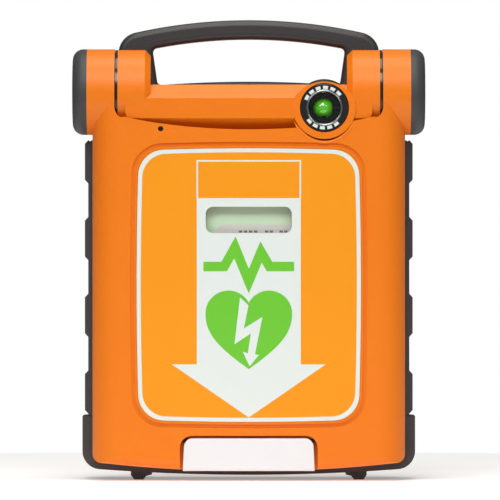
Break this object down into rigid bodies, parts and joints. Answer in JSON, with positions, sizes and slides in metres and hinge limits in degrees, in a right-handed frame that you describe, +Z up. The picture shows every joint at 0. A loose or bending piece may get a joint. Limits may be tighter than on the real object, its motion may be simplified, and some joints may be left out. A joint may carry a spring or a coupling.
{
  "type": "automated external defibrillator",
  "caption": "Portable upright defibrillator case with carrying handle, front lid on barrel hinges, paddle latch, status window and a battery that slides out behind.",
  "frame": {"origin": "on the table under the middle of the case", "axes": "+X across the case to the right as seen from the front, +Y from the lid to the back, +Z up"},
  "size_m": [0.23, 0.09, 0.3005],
  "materials": {
    "orange_shell": "satin moulded plastic",
    "grey_frame": "fine-grained dark grey plastic",
    "grey_rubber": "matt rubber",
    "seal_rubber": "soft black seal",
    "dark_gloss": "polished dark plastic",
    "deck_grey": "textured mid grey plastic",
    "liner_grey": "light grey plastic",
    "label": "printed amber overlay",
    "clear": "clear moulding",
    "latch_white": "satin white plastic",
    "red_plastic": "red plastic",
    "green_plastic": "bright green plastic",
    "steel": "plain steel",
    "pouch_film": "pale green film",
    "strap": "elastic webbing",
    "circuit_board": "green solder resist",
    "capacitor_sleeve": "blue sleeve",
    "black_part": "black plastic",
    "copper_wire": "wound copper",
    "aluminium": "extruded aluminium",
    "plate_film": "bare grey film",
    "shock_orange": "red-orange button",
    "info_blue": "blue button",
    "battery_shell": "dark grey plastic",
    "cell_wrap": "sleeved cells"
  },
  "bodies": {
    "base": {"rear_shell": "orange_shell", "deck_panel": "deck_grey", "carry_frame": "grey_frame", "bridge_cover": "orange_shell", "side_rail_left": "grey_rubber", "side_rail_right": "grey_rubber", "bottom_bumper": "grey_rubber", "foot_left": "grey_rubber", "foot_right": "grey_rubber", "rear_pads": "grey_rubber", "case_gasket": "seal_rubber", "deck_screws": "steel", "frame_screws": "steel", "main_board": "circuit_board", "hv_capacitor": "capacitor_sleeve", "capacitor_strap": "black_part", "charge_transformer": "copper_wire", "shock_relay": "black_part", "output_heatsink": "aluminium", "display_module": "black_part", "display_window": "clear", "speaker": "black_part", "pads_socket": "black_part", "shock_switch": "black_part", "info_switch": "black_part", "shock_button_spring": "steel", "info_button_spring": "steel", "battery_contacts": "aluminium", "battery_clip": "steel", "lid_sensor": "black_part", "rating_plate": "plate_film", "pressure_vent": "black_part", "status_bezel": "dark_gloss", "status_lens": "clear", "status_coil": "copper_wire", "latch_striker": "steel", "hinge_washers": "dark_gloss"},
    "lid": {"lid_shell": "orange_shell", "label_panel": "label", "window_pane": "clear", "lid_liner": "liner_grey", "liner_screws": "steel", "pads_pouch": "pouch_film", "pouch_straps": "strap", "lid_magnet": "steel", "latch_bracket": "red_plastic", "latch_pin": "steel", "latch_spring": "steel", "hinge_cap_left": "grey_rubber", "hinge_cap_right": "grey_rubber", "hinge_pin_left": "steel", "hinge_pin_right": "steel"},
    "latch": {"latch_paddle": "latch_white"},
    "flag": {"flag_green": "green_plastic", "flag_red": "red_plastic", "flag_shaft": "steel"},
    "shock_key": {"shock_button": "shock_orange"},
    "info_key": {"info_button": "info_blue"},
    "battery": {"battery_case": "battery_shell", "battery_cells": "cell_wrap"}
  },
  "joints": [
    {"name": "lid_hinge", "type": "hinge", "parent": "base", "child": "lid", "pos_m": [0, -0.017, 0.2535], "axis": [-1, 0, 0], "range_deg": [0, 110], "deforming": ["latch_striker"]},
    {"name": "latch_lift", "type": "hinge", "parent": "lid", "child": "latch", "pos_m": [0, -0.0405, 0.026], "axis": [-1, 0, 0], "range_deg": [0, 18], "stiffness_Nm_per_rad": 0.05, "springref_deg": -17.19, "deforming": ["latch_spring"]},
    {"name": "flag_turn", "type": "hinge", "parent": "base", "child": "flag", "pos_m": [0.0486, -0.033, 0.2428], "axis": [1, 0, 0], "range_deg": [0, 180]},
    {"name": "shock_press", "type": "slide", "parent": "base", "child": "shock_key", "axis": [0, 1, 0], "range_m": [0, 0.002], "stiffness_N_per_m": 600, "springref_m": -0.002, "deforming": ["shock_button_spring"]},
    {"name": "info_press", "type": "slide", "parent": "base", "child": "info_key", "axis": [0, 1, 0], "range_m": [0, 0.0012], "stiffness_N_per_m": 500, "springref_m": -0.001, "deforming": ["info_button_spring"]},
    {"name": "battery_slide", "type": "slide", "parent": "base", "child": "battery", "axis": [0, 1, 0], "range_m": [0, 0.045], "deforming": ["battery_clip"]}
  ]
}
